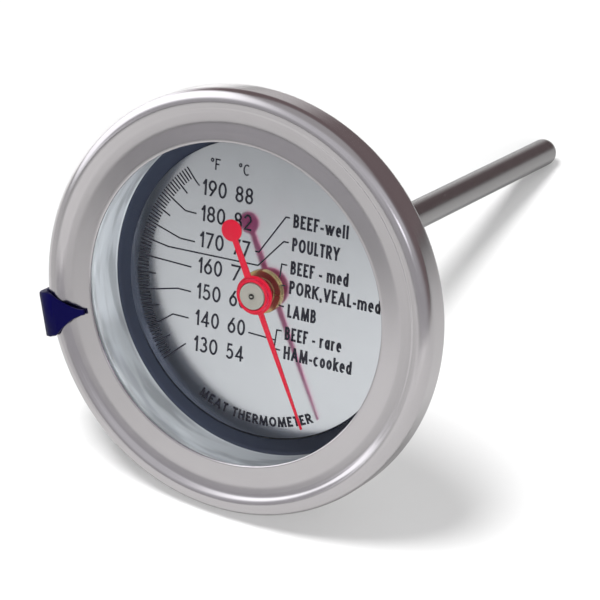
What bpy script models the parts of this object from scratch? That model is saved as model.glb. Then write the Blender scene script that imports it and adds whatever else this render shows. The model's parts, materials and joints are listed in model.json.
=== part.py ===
"""Dial meat thermometer: a round stainless case on a long stem, lying on a flat surface.

Every piece is turned about one axis. The local frame has +Z towards the reader of the dial,
+Y up the dial and +X to the right. Depths are measured backwards from the lip of the bezel.
The root empty leans that frame so that the rim and the tip of the stem both touch the floor.
"""

import math

import bmesh
import bpy
from mathutils import Matrix, Vector

MM = 0.001
GAP = 0.3

# Dial case
RIM_R = 35.0
LIP_R = 26.45
SHEET = 0.55
BEAD_R = 2.0
BEAD_DEPTH = 1.4
CURL_R = 1.5
CURL_DEPTH = 4.5
WALL_R = 27.9
WALL = 0.6
FLANGE_R = 34.1
GASKET_DEPTH = 0.85
GASKET_THICK = 0.35
GLASS_R = 31.3
GLASS_DEPTH = GASKET_DEPTH + GASKET_THICK + GAP
GLASS_THICK = 1.5
FLANGE_DEPTH = GLASS_DEPTH + GLASS_THICK + GAP
FLANGE_STEP = 0.9
FLOOR_DEPTH = 10.9
CORNER_R = 0.8
BOSS_STEP = 0.95
BOSS_R = 7.6

# Dial and hub stack
DIAL_R = 25.07
DIAL_DEPTH = 10.3
DIAL_THICK = 0.35
DIAL_HOLE_R = 3.2
NUT_R = 3.58
NUT_BODY_R = 2.9
NUT_DEPTH = 9.7
NUT_THICK = 1.25
WASHER_R = 3.5
NECK_R = 1.9
NECK_BORE_R = 1.25

# Needle
NEEDLE_ANGLE = 300.1
NEEDLE_REACH = 23.0
TAIL_REACH = 11.05
TAIL_DISC_R = 1.82
BLADE_DEPTH = 7.3
BLADE_THICK = 0.3
BLADE_DISC_R = 3.25
COLLAR_R = 2.8
COLLAR_BORE_R = 2.45
COLLAR_DEPTH = 6.6
HUB_R = 2.2
HUB_DEPTH = 6.5
SHAFT_R = 0.45

# Stem
STEM_R = 2.62
STEM_BORE_R = 2.2
STEM_START = 15.6
STEM_END = 126.5
SHAFT_END = 86.3
COIL_START = 87.0
COIL_END = 117.0
COIL_R = 1.3
COIL_PITCH = 2.5

# Target marker
MARKER_ANGLE = 196.6
MARKER_HALF = 3.77
MARKER_TIP_R = 26.9
MARKER_FACE = 36.6

RING = 64
SMALL_RING = 32
FINE_RING = 24


def clear_scene():
    for obj in list(bpy.data.objects):
        bpy.data.objects.remove(obj, do_unlink=True)


def material(name, color, roughness, metallic, alpha=1.0):
    mat = bpy.data.materials.new(name)
    mat.use_nodes = True
    shader = mat.node_tree.nodes["Principled BSDF"]
    shader.inputs["Base Color"].default_value = (*color, 1.0)
    shader.inputs["Roughness"].default_value = roughness
    shader.inputs["Metallic"].default_value = metallic
    shader.inputs["Alpha"].default_value = alpha
    return mat


def empty(name, parent=None, location=(0, 0, 0), rotation=(0, 0, 0)):
    obj = bpy.data.objects.new(name, None)
    bpy.context.scene.collection.objects.link(obj)
    obj.empty_display_size = 0.01
    obj.parent = parent
    obj.location = location
    obj.rotation_euler = rotation
    return obj


def add_object(name, bm, parent, depth, mat, sharp_deg=35):
    """The bmesh, drawn in millimetres, becomes an object whose front plane is at this depth."""
    bmesh.ops.scale(bm, vec=(MM, MM, MM), verts=bm.verts)
    bmesh.ops.recalc_face_normals(bm, faces=bm.faces)
    mesh = bpy.data.meshes.new(name)
    bm.to_mesh(mesh)
    bm.free()
    mesh.materials.append(mat)
    mesh.shade_smooth()
    mesh.set_sharp_from_angle(angle=math.radians(sharp_deg))
    obj = bpy.data.objects.new(name, mesh)
    bpy.context.scene.collection.objects.link(obj)
    obj.parent = parent
    obj.location = (0, 0, -depth * MM)
    return obj


def spin_profile(profile, steps):
    """Turns a profile of (radius, depth) points about Z. One that starts and ends on the axis stays open."""
    bm = bmesh.new()
    verts = [bm.verts.new((r, 0, -d)) for r, d in profile]
    edges = [bm.edges.new(pair) for pair in zip(verts, verts[1:])]
    if profile[0][0] > 0:
        edges.append(bm.edges.new((verts[-1], verts[0])))
    half_step = Matrix.Rotation(math.pi / steps, 3, "Z")
    bmesh.ops.rotate(bm, matrix=half_step, verts=bm.verts)
    bmesh.ops.spin(
        bm,
        geom=verts + edges,
        cent=(0, 0, 0),
        axis=(0, 0, 1),
        angle=2 * math.pi,
        steps=steps,
        use_merge=True,
    )
    bmesh.ops.remove_doubles(bm, verts=bm.verts, dist=1e-4)
    return bm


def turned(name, profile, parent, depth, mat, steps=SMALL_RING):
    return add_object(name, spin_profile(profile, steps), parent, depth, mat)


def ring(name, inner, outer, depth, thick, parent, mat, steps=SMALL_RING):
    profile = [(inner, 0), (outer, 0), (outer, thick), (inner, thick)]
    return turned(name, profile, parent, depth, mat, steps)


def arc(center, radius, start_deg, end_deg, count):
    """Points (radius, depth) round a centre; 0 degrees points at the reader and 90 outwards."""
    points = []
    for i in range(count + 1):
        angle = math.radians(start_deg + (end_deg - start_deg) * i / count)
        points.append((center[0] + radius * math.sin(angle), center[1] - radius * math.cos(angle)))
    return points


def bezel_front():
    """The face of the bezel: a shallow dish from the lip, a faint groove, then the rolled bead."""
    dish = [(LIP_R + SHEET / 2, 0.0), (29.6, -0.12), (30.6, -0.2), (31.3, -0.15)]
    bead = arc((RIM_R - BEAD_R, BEAD_DEPTH), BEAD_R, -32, 90, 8)
    curl = arc((RIM_R - CURL_R, CURL_DEPTH), CURL_R, 90, 180, 3)
    return dish + bead + curl + [(32.4, CURL_DEPTH + CURL_R)]


def bezel_back():
    curl = arc((RIM_R - CURL_R, CURL_DEPTH), CURL_R - SHEET, 180, 90, 3)
    bead = arc((RIM_R - BEAD_R, BEAD_DEPTH), BEAD_R - SHEET, 90, -32, 5)
    dish = [(31.3, 0.4), (30.6, 0.35), (29.6, 0.43), (LIP_R + SHEET / 2, SHEET), (LIP_R, SHEET / 2)]
    return [(32.4, CURL_DEPTH + CURL_R - SHEET)] + curl + bead + dish


def build_bezel(parent, mat):
    return turned("bezel_ring", bezel_front() + bezel_back(), parent, 0, mat, RING)


def cup_profile():
    """A drawn cup: stepped flange, wall, rounded corner, and a floor with a raised boss at its centre."""
    top, floor = 0.0, FLOOR_DEPTH - FLANGE_DEPTH
    outer = WALL_R + WALL
    corner = floor - CORNER_R
    inside_r = WALL_R - CORNER_R
    flange = [
        (WALL_R, 0.6),
        (WALL_R + 0.2, 0.15),
        (WALL_R + 0.65, top),
        (GLASS_R + 0.2, top),
        (GLASS_R + 0.9, FLANGE_STEP),
        (FLANGE_R, FLANGE_STEP),
        (FLANGE_R, FLANGE_STEP + WALL),
        (GLASS_R + 0.6, FLANGE_STEP + WALL),
        (GLASS_R - 0.1, WALL),
        (outer + 0.5, WALL),
        (outer, WALL + 0.5),
    ]
    outside = arc((inside_r, corner), CORNER_R + WALL, 90, 180, 3)
    hole = NECK_R + GAP
    boss_back = [
        (BOSS_R + 1.4, floor + WALL),
        (BOSS_R, floor + WALL + BOSS_STEP),
        (hole, floor + WALL + BOSS_STEP),
    ]
    boss_front = [
        (hole, floor + BOSS_STEP),
        (BOSS_R - 0.3, floor + BOSS_STEP),
        (BOSS_R + 1.1, floor),
    ]
    inside = arc((inside_r, corner), CORNER_R, 180, 90, 3)
    return flange + outside + boss_back + boss_front + inside


def build_case(parent, steel, bright, rubber, glass):
    build_bezel(parent, steel)
    turned("case_cup", cup_profile(), parent, FLANGE_DEPTH, bright, RING)
    ring("lens_gasket", 27.2, 31.6, GASKET_DEPTH, GASKET_THICK, parent, rubber, RING)
    edge = 0.3
    lens = [
        (0, 0),
        (GLASS_R - edge, 0),
        (GLASS_R, edge),
        (GLASS_R, GLASS_THICK - edge),
        (GLASS_R - edge, GLASS_THICK),
        (0, GLASS_THICK),
    ]
    turned("lens_glass", lens, parent, GLASS_DEPTH, glass, RING)


def build_dial(parent, dial, grey, brass):
    ring("dial_plate", DIAL_HOLE_R, DIAL_R, DIAL_DEPTH, DIAL_THICK, parent, dial, RING)
    bore = NECK_R + GAP
    brim = DIAL_DEPTH - GAP - NUT_DEPTH
    nut = [
        (bore, 0),
        (NUT_R - 0.1, 0),
        (NUT_R, 0.1),
        (NUT_R, brim),
        (NUT_BODY_R, brim),
        (NUT_BODY_R, NUT_THICK),
        (bore, NUT_THICK),
    ]
    turned("hub_nut", nut, parent, NUT_DEPTH, brass)
    ring("hub_washer", bore, WASHER_R, NUT_DEPTH + NUT_THICK + GAP, 0.3, parent, grey)


def build_stem_head(parent, steel, rubber, brass):
    """The bush carries the case: its neck passes through the boss, and its collar holds the tube."""
    back = FLOOR_DEPTH + WALL + BOSS_STEP
    seal = back + GAP
    shoulder = seal + 0.8 + GAP - NUT_DEPTH
    seat = STEM_START - GAP - NUT_DEPTH
    bush = [
        (NECK_BORE_R, 0),
        (NECK_R, 0),
        (NECK_R, shoulder),
        (5.5, shoulder),
        (5.5, shoulder + 1.4),
        (3.9, shoulder + 3.0),
        (3.9, 11.0),
        (STEM_R + GAP, 11.0),
        (STEM_R + GAP, seat),
        (NECK_BORE_R, seat),
    ]
    turned("stem_bush", bush, parent, NUT_DEPTH, steel)
    ring("bush_seal", NECK_R + GAP, 5.2, seal, 0.8, parent, rubber)
    ring("upper_bearing", 0.52, NECK_BORE_R - GAP, NUT_DEPTH + 0.3, 3.0, parent, brass, FINE_RING)


def build_stem(parent, steel, brass):
    plug = STEM_END - STEM_R
    tube_end = plug - GAP
    ring("stem_tube", STEM_BORE_R, STEM_R, STEM_START, tube_end - STEM_START, parent, steel)
    spigot = 2.6
    tip = [(0, 0), (STEM_BORE_R - GAP, 0), (STEM_BORE_R - GAP, spigot)]
    tip += arc((0, spigot), STEM_R, 90, 180, 6)[:-1] + [(0, spigot + STEM_R)]
    turned("stem_tip_plug", tip, parent, plug - spigot, steel, SMALL_RING)
    ring("shaft_guide", 0.52, STEM_BORE_R - GAP, 78.0, 3.0, parent, brass, FINE_RING)
    anchor_r = STEM_BORE_R - GAP
    anchor = [(0, 0), (0.6, 0), (0.6, 0.8), (anchor_r, 0.8), (anchor_r, 3.0), (0, 3.0)]
    turned("coil_anchor", anchor, parent, COIL_END + 0.4, brass, FINE_RING)


def coil_point(turn, radius, depth):
    angle = 2 * math.pi * turn
    return Vector((radius * math.cos(angle), radius * math.sin(angle), -depth))


def build_coil(parent, mat):
    """A flat bimetal strip wound in a helix: a rectangle swept round the axis."""
    width, thick, per_turn = 1.3, 0.25, 12
    length = COIL_END - COIL_START - width
    turns = length / COIL_PITCH
    count = int(turns * per_turn)
    bm = bmesh.new()
    loops = []
    for i in range(count + 1):
        turn = turns * i / count
        depth = length * i / count
        corners = []
        for radius, down in ((-thick / 2, 0), (thick / 2, 0), (thick / 2, width), (-thick / 2, width)):
            corners.append(bm.verts.new(coil_point(turn, COIL_R + radius, depth + down)))
        loops.append(corners)
    for near, far in zip(loops, loops[1:]):
        for k in range(4):
            bm.faces.new((near[k], near[(k + 1) % 4], far[(k + 1) % 4], far[k]))
    bm.faces.new(loops[0])
    bm.faces.new(loops[-1])
    return add_object("bimetal_coil", bm, parent, COIL_START, mat, 50)


def arm_width(radius):
    """Half the width of the pointing arm, which narrows towards its tip."""
    return 0.5 - 0.24 * radius / NEEDLE_REACH


def blade_outline():
    """The flat blade seen from the front, pointing along +X: tapered arm, disc and weighted tail."""
    points = [(NEEDLE_REACH, -arm_width(NEEDLE_REACH)), (NEEDLE_REACH, arm_width(NEEDLE_REACH))]
    start = math.asin(arm_width(0) / BLADE_DISC_R)
    tail = math.asin(0.6 / BLADE_DISC_R)
    for i in range(13):
        angle = start + (math.pi - tail - start) * i / 12
        points.append((BLADE_DISC_R * math.cos(angle), BLADE_DISC_R * math.sin(angle)))
    neck = math.asin(0.5 / TAIL_DISC_R)
    for i in range(21):
        angle = neck + (2 * math.pi - 2 * neck) * i / 20
        x = -TAIL_REACH + TAIL_DISC_R * math.cos(angle)
        points.append((x, TAIL_DISC_R * math.sin(angle)))
    for i in range(13):
        angle = math.pi + tail + (math.pi - tail - start) * i / 12
        points.append((BLADE_DISC_R * math.cos(angle), BLADE_DISC_R * math.sin(angle)))
    return points


def build_pointer(parent, mat):
    """The blade, drilled for the hub, with a round collar standing on its front."""
    bm = bmesh.new()
    face = bm.faces.new([bm.verts.new((x, y, 0)) for x, y in blade_outline()])
    made = bmesh.ops.extrude_face_region(bm, geom=[face])
    lower = [v for v in made["geom"] if isinstance(v, bmesh.types.BMVert)]
    bmesh.ops.translate(bm, verts=lower, vec=(0, 0, -BLADE_THICK))
    pointer = add_object("pointer", bm, parent, BLADE_DEPTH, mat)
    collar_height = BLADE_DEPTH + BLADE_THICK / 2 - COLLAR_DEPTH
    collar = ring(
        "pointer_collar_guide", COLLAR_BORE_R, COLLAR_R, COLLAR_DEPTH, collar_height, parent, mat
    )
    hole = turned(
        "pointer_bore_guide", [(0, 0), (1.6, 0), (1.6, 2), (0, 2)], parent, BLADE_DEPTH - 0.5, mat, FINE_RING
    )
    for guide, operation in ((collar, "UNION"), (hole, "DIFFERENCE")):
        guide.hide_render = True
        guide.display_type = "WIRE"
        modifier = pointer.modifiers.new(operation.title(), "BOOLEAN")
        modifier.operation = operation
        modifier.solver = "EXACT"
        modifier.object = guide
    return pointer


def build_needle(parent, red, hub_steel, brass):
    build_pointer(parent, red)
    bore = SHAFT_R + 0.15
    hub = [
        (bore, 0),
        (HUB_R - 0.15, 0),
        (HUB_R, 0.15),
        (HUB_R, 0.6),
        (1.3, 0.6),
        (1.3, 2.2),
        (bore, 2.2),
    ]
    turned("pointer_hub", hub, parent, HUB_DEPTH, hub_steel)
    front = HUB_DEPTH - 0.15
    length = SHAFT_END - front
    shaft = [(0, 0), (SHAFT_R, 0), (SHAFT_R, length), (0, length)]
    turned("shaft", shaft, parent, front, hub_steel, 16)
    ring("coil_driver", SHAFT_R + GAP, 1.6, SHAFT_END - 2.3, 2.3, parent, brass, FINE_RING)


def marker_stations():
    """Stations along the clip: (outer radius, outer depth, inner radius, inner depth, half width)."""
    stations = []
    for i in range(9):
        t = i / 8
        outer_r = MARKER_TIP_R + (33.4 - MARKER_TIP_R) * t
        half = 0.5 + 2.95 * t**1.7 if i else 0.3
        stations.append((outer_r, -1.25 - 0.65 * t, outer_r, -0.45 - 0.45 * min(1, t * 1.4), half))
    stations.append((34.9, -1.45, 33.9, -0.75, MARKER_HALF))
    stations.append((MARKER_FACE, 0.4, RIM_R + GAP, 0.9, MARKER_HALF))
    stations.append((MARKER_FACE, 6.2, RIM_R + GAP, 5.2, MARKER_HALF))
    stations.append((35.7, 7.4, 34.3, 6.3, MARKER_HALF))
    stations.append((32.6, 7.4, 32.6, 6.3, MARKER_HALF - 0.4))
    return stations


def build_marker(parent, mat):
    """A clip that hooks over the rim, with an arrow lying on the bezel and pointing inwards."""
    bm = bmesh.new()
    loops = []
    for outer_r, outer_d, inner_r, inner_d, half in marker_stations():
        corners = ((outer_r, -half, -outer_d), (outer_r, half, -outer_d))
        corners += ((inner_r, half, -inner_d), (inner_r, -half, -inner_d))
        loops.append([bm.verts.new(point) for point in corners])
    for near, far in zip(loops, loops[1:]):
        for k in range(4):
            bm.faces.new((near[k], near[(k + 1) % 4], far[(k + 1) % 4], far[k]))
    bm.faces.new(loops[0])
    bm.faces.new(loops[-1])
    return add_object("target_marker", bm, parent, 0, mat, 25)


def lean_angle():
    """The angle of the stem below the horizontal when the rim's rear edge and the tip touch the floor."""
    run = (STEM_END - STEM_R) - CURL_DEPTH
    rise = RIM_R - CURL_R
    span = math.hypot(run, rise)
    return math.atan2(rise, run) - math.asin((STEM_R - CURL_R) / span)


def rest_on_floor(root):
    """Moves the root so that the middle of the bounding box's underside is the world origin."""
    bpy.context.view_layer.update()
    points = []
    for obj in bpy.context.scene.objects:
        if obj.type == "MESH" and not obj.hide_render:
            points += [obj.matrix_world @ v.co for v in obj.data.vertices]
    low = [min(p[k] for p in points) for k in range(3)]
    high = [max(p[k] for p in points) for k in range(3)]
    root.location -= Vector(((low[0] + high[0]) / 2, (low[1] + high[1]) / 2, low[2]))
    bpy.context.view_layer.update()


def main():
    clear_scene()
    steel = material("satin_steel", (0.60, 0.58, 0.57), 0.32, 1.0)
    bright = material("bright_steel", (0.72, 0.75, 0.77), 0.12, 1.0)
    stem_steel = material("stem_steel", (0.52, 0.52, 0.52), 0.35, 1.0)
    dial = material("dial_metal", (0.66, 0.67, 0.69), 0.42, 0.6)
    brass = material("brass", (0.72, 0.55, 0.25), 0.3, 1.0)
    washer = material("washer_grey", (0.38, 0.38, 0.30), 0.45, 0.9)
    hub_steel = material("hub_steel", (0.58, 0.57, 0.54), 0.38, 0.9)
    bimetal = material("bimetal", (0.55, 0.47, 0.36), 0.35, 1.0)
    red = material("red_paint", (0.62, 0.01, 0.05), 0.35, 0.0)
    navy = material("navy_plastic", (0.008, 0.002, 0.06), 0.3, 0.0)
    rubber = material("seal_rubber", (0.05, 0.05, 0.055), 0.7, 0.0)
    glass = material("clear_glass", (0.95, 0.97, 0.97), 0.03, 0.0, 0.2)

    lean = lean_angle()
    root = empty("thermometer_rest", rotation=(math.pi / 2 - lean, 0, 0))
    needle = empty("needle_axis", root, rotation=(0, 0, math.radians(NEEDLE_ANGLE)))
    marker = empty("marker_axis", root, rotation=(0, 0, math.radians(MARKER_ANGLE)))

    build_case(root, steel, bright, rubber, glass)
    build_dial(root, dial, washer, brass)
    build_stem_head(root, stem_steel, rubber, brass)
    build_stem(root, stem_steel, brass)
    build_coil(root, bimetal)
    build_needle(needle, red, hub_steel, brass)
    build_marker(marker, navy)
    rest_on_floor(root)


main()
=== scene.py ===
"""Dial meat thermometer: the visual model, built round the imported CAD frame.

Pieces are drawn in millimetres in a dial frame: +Z towards the reader, +Y up the dial, +X to the
right, and the origin at the centre of the bezel's lip. Depths run backwards from the lip. Every mesh
is then moved into the part's frame.
"""

import json
import math

import bmesh
import bpy
from mathutils import Matrix, Vector


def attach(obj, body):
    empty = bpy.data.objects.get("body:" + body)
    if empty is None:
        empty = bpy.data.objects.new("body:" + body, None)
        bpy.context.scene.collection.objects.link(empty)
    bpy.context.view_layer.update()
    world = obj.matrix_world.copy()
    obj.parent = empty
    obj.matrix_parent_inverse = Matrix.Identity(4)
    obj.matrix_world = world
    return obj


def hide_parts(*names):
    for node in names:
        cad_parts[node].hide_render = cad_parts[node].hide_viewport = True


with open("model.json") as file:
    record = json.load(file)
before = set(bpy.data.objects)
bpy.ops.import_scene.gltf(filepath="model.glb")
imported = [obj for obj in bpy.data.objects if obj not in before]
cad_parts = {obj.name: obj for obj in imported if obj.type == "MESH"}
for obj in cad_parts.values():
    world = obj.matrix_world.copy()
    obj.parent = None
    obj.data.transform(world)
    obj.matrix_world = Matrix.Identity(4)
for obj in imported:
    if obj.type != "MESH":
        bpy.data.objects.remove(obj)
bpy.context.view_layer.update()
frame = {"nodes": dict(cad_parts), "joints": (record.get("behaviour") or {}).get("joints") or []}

MM = 0.001
TINY = 1e-6

# Faces round the large turned pieces, and round the small ones
STEPS = 256
SMALL_STEPS = 96

# Bezel, case, dial, needle and stem, with the CAD's sizes
RIM_R, LIP_R, SHEET = 35.0, 26.45, 0.55
BEAD_R, BEAD_DEPTH = 2.0, 1.4
CURL_R, CURL_DEPTH = 1.5, 4.5
WALL_R, WALL, FLANGE_R = 27.9, 0.6, 34.1
GASKET_DEPTH, GASKET_THICK = 0.85, 0.35
GLASS_R, GLASS_DEPTH, GLASS_THICK = 31.3, 1.5, 1.5
FLANGE_DEPTH, FLANGE_STEP, FLANGE_ROUND = 3.3, 0.9, 0.65
FLOOR_DEPTH, CORNER_R = 10.9, 0.8
BOSS_STEP, BOSS_R = 0.95, 7.6
DIAL_R, DIAL_DEPTH, DIAL_THICK, DIAL_HOLE_R = 25.07, 10.3, 0.35, 3.2
NUT_R, NUT_BODY_R, NUT_DEPTH, NUT_THICK = 3.58, 2.9, 9.7, 1.25
NECK_R, NECK_BORE_R = 1.9, 1.25
NEEDLE_REACH, TAIL_REACH, TAIL_DISC_R = 23.0, 11.05, 1.82
BLADE_DEPTH, BLADE_THICK, BLADE_DISC_R = 7.3, 0.3, 3.25
COLLAR_R, COLLAR_BORE_R, COLLAR_DEPTH = 2.8, 2.45, 6.6
HUB_R, HUB_DEPTH = 2.2, 6.5
STEM_R, STEM_BORE_R, STEM_START, STEM_END = 2.62, 2.2, 15.6, 126.5

# The clip, fitted to the photograph more closely than the CAD's: its tip is 1 mm shorter, its face
# 0.25 mm nearer the rim, and it is turned MARKER_TRIM degrees further
MARKER_TIP_R, MARKER_FACE, MARKER_HALF = 27.9, 36.35, 3.75
MARKER_INSIDE = RIM_R + 0.25
MARKER_SOFT = 0.12
MARKER_TRIM = 1.3
ARROW_END_R, ARROW_STEPS = 33.4, 16

# Dial print, in a frame turned PRINT_TURN degrees. The ink stands PRINT_HIGH above the dial and its
# sides reach PRINT_SINK into it. The scale's ends point in these directions.
PRINT_TURN = 4.1
PRINT_HIGH, PRINT_SINK = 0.03, 0.02
DEGREE_130, DEGREE_190 = 221.0, 130.4
LINE_HALF = 0.125
TICK_OUTER_R, TICK_R, LONG_TICK_R, LEADER_TICK_R = 23.6, 21.55, 20.2, 21.0
LETTER_GAP = 0.11

# Colours that mirror images show instead of the piece's own, as painted shade and reflection, and painted
# shade
WALL_IN_MIRROR = (0.07, 0.085, 0.125, 1)
RED_IN_MIRROR = (0.95, 0.16, 0.42, 1)
EDGE_SHADOW = (0.02, 0.025, 0.04, 1)
HOLE_SHADE = (0.012, 0.012, 0.012, 1)


# ---- frame

def dial_matrix():
    """The dial frame in the part's frame, from the marker's hinge, whose point is 1 mm behind the lip."""
    hinge = next(j for j in frame["joints"] if j["name"] == "marker_slide")
    back = Vector(hinge["axis"]).normalized()
    origin = Vector(hinge["pos_m"]) - back * MM
    z = -back
    x = Vector((1, 0, 0))
    y = z.cross(x)
    rotation = Matrix((x, y, z)).transposed().to_4x4()
    return Matrix.Translation(origin) @ rotation


DIAL = dial_matrix()
DIAL_INVERSE = DIAL.inverted()


def node_angle(name, reach_only):
    """Where a CAD node points in the dial frame, in degrees.

    That is its mean direction, or with reach_only the direction of its farthest points.
    """
    band = 0.05 * MM
    points = [DIAL_INVERSE @ v.co for v in frame["nodes"][name].data.vertices]
    radius = [math.hypot(p.x, p.y) for p in points]
    limit = max(radius) - band if reach_only else 0
    total = Vector((0, 0))
    for p, r in zip(points, radius):
        if r >= limit:
            total += Vector((p.x, p.y)) / r
    return math.degrees(math.atan2(total.y, total.x))


# ---- mesh helpers

def arc(center, radius, start_deg, end_deg, count):
    """Points (radius, depth) round a centre; 0 degrees points at the reader and 90 outwards."""
    points = []
    for i in range(count + 1):
        angle = math.radians(start_deg + (end_deg - start_deg) * i / count)
        points.append((center[0] + radius * math.sin(angle), center[1] - radius * math.cos(angle)))
    return points


def rounded(points, radius, count=4, closed=True):
    """A profile with each corner replaced by a small arc.

    Beside an arc on a long side stands a support point, so that a large flat keeps flat normals.
    """
    straight, most, long_side, support = math.radians(176), 0.45, 10, 0.4
    made = []
    total = len(points)
    for i, point in enumerate(points):
        if not closed and i in (0, total - 1):
            made.append(point)
            continue
        here = Vector(point)
        before = Vector(points[i - 1]) - here
        after = Vector(points[(i + 1) % total]) - here
        angle = before.angle(after)
        if angle > straight:
            made.append(point)
            continue
        reach = min(radius / math.tan(angle / 2), most * before.length, most * after.length)
        start = here + before.normalized() * reach
        end = here + after.normalized() * reach
        if before.length > long_side * reach:
            made.append(tuple(start + before.normalized() * reach * support))
        for k in range(count + 1):
            t = k / count
            made.append(tuple(start * (1 - t) ** 2 + here * 2 * t * (1 - t) + end * t * t))
        if after.length > long_side * reach:
            made.append(tuple(end + after.normalized() * reach * support))
    return made


def lathe(profile, steps=STEPS, closed=True):
    """Turns a profile of (radius, depth) points about Z."""
    bm = bmesh.new()
    rings = []
    for radius, depth in profile:
        if radius < TINY:
            rings.append([bm.verts.new((0, 0, -depth))])
            continue
        turn = [2 * math.pi * k / steps for k in range(steps)]
        rings.append([bm.verts.new((radius * math.cos(a), radius * math.sin(a), -depth)) for a in turn])
    pairs = list(zip(rings, rings[1:]))
    if closed:
        pairs.append((rings[-1], rings[0]))
    for near, far in pairs:
        for k in range(steps):
            corners = [near[k % len(near)], near[(k + 1) % len(near)]]
            corners += [far[(k + 1) % len(far)], far[k % len(far)]]
            bm.faces.new(list(dict.fromkeys(corners)))
    return bm


def ring(inner, outer, depth, thick, edge):
    """A flat ring with softened edges."""
    corners = [(inner, depth), (outer, depth), (outer, depth + thick), (inner, depth + thick)]
    return lathe(rounded(corners, edge))


def plate(outline, depth, thick, edge):
    """A flat plate cut to an outline, its front and back edges softened."""
    bm = bmesh.new()
    face = bm.faces.new([bm.verts.new((x, y, -depth)) for x, y in outline])
    made = bmesh.ops.extrude_face_region(bm, geom=[face])
    lower = [v for v in made["geom"] if isinstance(v, bmesh.types.BMVert)]
    bmesh.ops.translate(bm, verts=lower, vec=(0, 0, -thick))
    rim = [e for e in bm.edges if abs(e.verts[0].co.z - e.verts[1].co.z) < TINY]
    bmesh.ops.bevel(bm, geom=rim, offset=edge, segments=3, profile=0.5, affect="EDGES")
    return bm


def piece(name, bm, body, mats, stands_for, turn=0.0, sharp_deg=32, pick=None):
    """A bmesh drawn in the dial frame becomes a piece that rides on a body and stands for CAD nodes.

    pick, if given, tells which of the materials a face takes.
    """
    bmesh.ops.recalc_face_normals(bm, faces=bm.faces)
    if pick:
        for face in bm.faces:
            face.material_index = pick(face)
    bm.transform(DIAL @ Matrix.Rotation(math.radians(turn), 4, "Z") @ Matrix.Scale(MM, 4))
    mesh = bpy.data.meshes.new(name)
    bm.to_mesh(mesh)
    bm.free()
    for mat in mats:
        mesh.materials.append(mat)
    mesh.shade_smooth()
    mesh.set_sharp_from_angle(angle=math.radians(sharp_deg))
    obj = bpy.data.objects.new(name, mesh)
    bpy.context.scene.collection.objects.link(obj)
    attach(obj, body)
    if stands_for:
        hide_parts(*stands_for)
    return obj


# ---- materials

def fill(tree, made, inputs):
    """Gives each input, by name or number, a value or a link to another node's output."""
    for key, value in inputs.items():
        if isinstance(value, bpy.types.NodeSocket):
            tree.links.new(value, made.inputs[key])
        else:
            made.inputs[key].default_value = value


def node(tree, kind, inputs=None, **props):
    """A shader node with these settings and inputs."""
    made = tree.nodes.new(kind)
    for key, value in props.items():
        setattr(made, key, value)
    fill(tree, made, inputs or {})
    return made


def calc(tree, operation, *values, clamp=False):
    inputs = dict(enumerate(values))
    return node(tree, "ShaderNodeMath", inputs, operation=operation, use_clamp=clamp).outputs[0]


def plus(tree, first, second):
    return calc(tree, "ADD", first, second)


def times(tree, first, second):
    return calc(tree, "MULTIPLY", first, second)


def remap(tree, value, low, high, to_low, to_high):
    """A smooth step from to_low, where value is at low or under it, to to_high."""
    inputs = {"Value": value, "From Min": low, "From Max": high, "To Min": to_low, "To Max": to_high}
    return node(tree, "ShaderNodeMapRange", inputs, interpolation_type="SMOOTHSTEP").outputs["Result"]


def rise(tree, value, low, high):
    return remap(tree, value, low, high, 0.0, 1.0)


def fall(tree, value, low, high):
    return remap(tree, value, low, high, 1.0, 0.0)


def blend(tree, share, color, other):
    """The first colour where share is 0, and the other where it is 1."""
    return node(tree, "ShaderNodeMix", {0: share, 6: color, 7: other}, data_type="RGBA").outputs[2]


def blend_values(tree, share, value, other):
    return node(tree, "ShaderNodeMix", {0: share, 2: value, 3: other}, data_type="FLOAT").outputs[0]


def scaled(tree, color, factor):
    return node(tree, "ShaderNodeVectorMath", {0: color, "Scale": factor}, operation="SCALE").outputs[0]


def ray_is(tree, kind):
    """1 for rays of this kind, and 0 for the rest."""
    return node(tree, "ShaderNodeLightPath").outputs[f"Is {kind} Ray"]


def noise(tree, vector, scale, detail, rough=0.55):
    inputs = {"Vector": vector, "Scale": scale, "Detail": detail, "Roughness": rough}
    return node(tree, "ShaderNodeTexNoise", inputs).outputs["Fac"]


def combine(tree, x, y, z):
    return node(tree, "ShaderNodeCombineXYZ", {0: x, 1: y, 2: z}).outputs[0]


def dial_point(tree):
    """The shaded point in the dial frame, in millimetres."""
    source = node(tree, "ShaderNodeTexCoord").outputs["Object"]
    moved = DIAL_INVERSE.to_translation() / MM
    turned = DIAL_INVERSE.to_euler()
    inputs = {"Vector": source, "Location": moved, "Rotation": turned, "Scale": (1 / MM,) * 3}
    return node(tree, "ShaderNodeMapping", inputs).outputs[0]


def parts_of(tree, vector):
    return node(tree, "ShaderNodeSeparateXYZ", {0: vector}).outputs


def distance_of(tree, point):
    return node(tree, "ShaderNodeVectorMath", {0: point}, operation="LENGTH").outputs["Value"]


def from_axis(tree, x, y):
    return calc(tree, "SQRT", plus(tree, times(tree, x, x), times(tree, y, y)))


def grain_round(tree, point, fine=5.0, along=1.5):
    """Fine grain that runs round the dial's axis, as turning and polishing leave it."""
    x, y, z = parts_of(tree, point)
    radius = from_axis(tree, x, y)
    angle = calc(tree, "ARCTAN2", y, x)
    swept = times(tree, calc(tree, "SINE", angle), along)
    other = times(tree, calc(tree, "COSINE", angle), along)
    depth = plus(tree, times(tree, radius, fine), times(tree, z, fine * 0.83))
    return combine(tree, swept, other, depth)


def grain_across(tree, point, fine=6.0, along=0.35):
    """Fine straight grain that runs across the dial."""
    inputs = {"Vector": point, "Rotation": (0, 0, math.radians(-PRINT_TURN)), "Scale": (along, fine, fine)}
    return node(tree, "ShaderNodeMapping", inputs).outputs[0]


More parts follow.
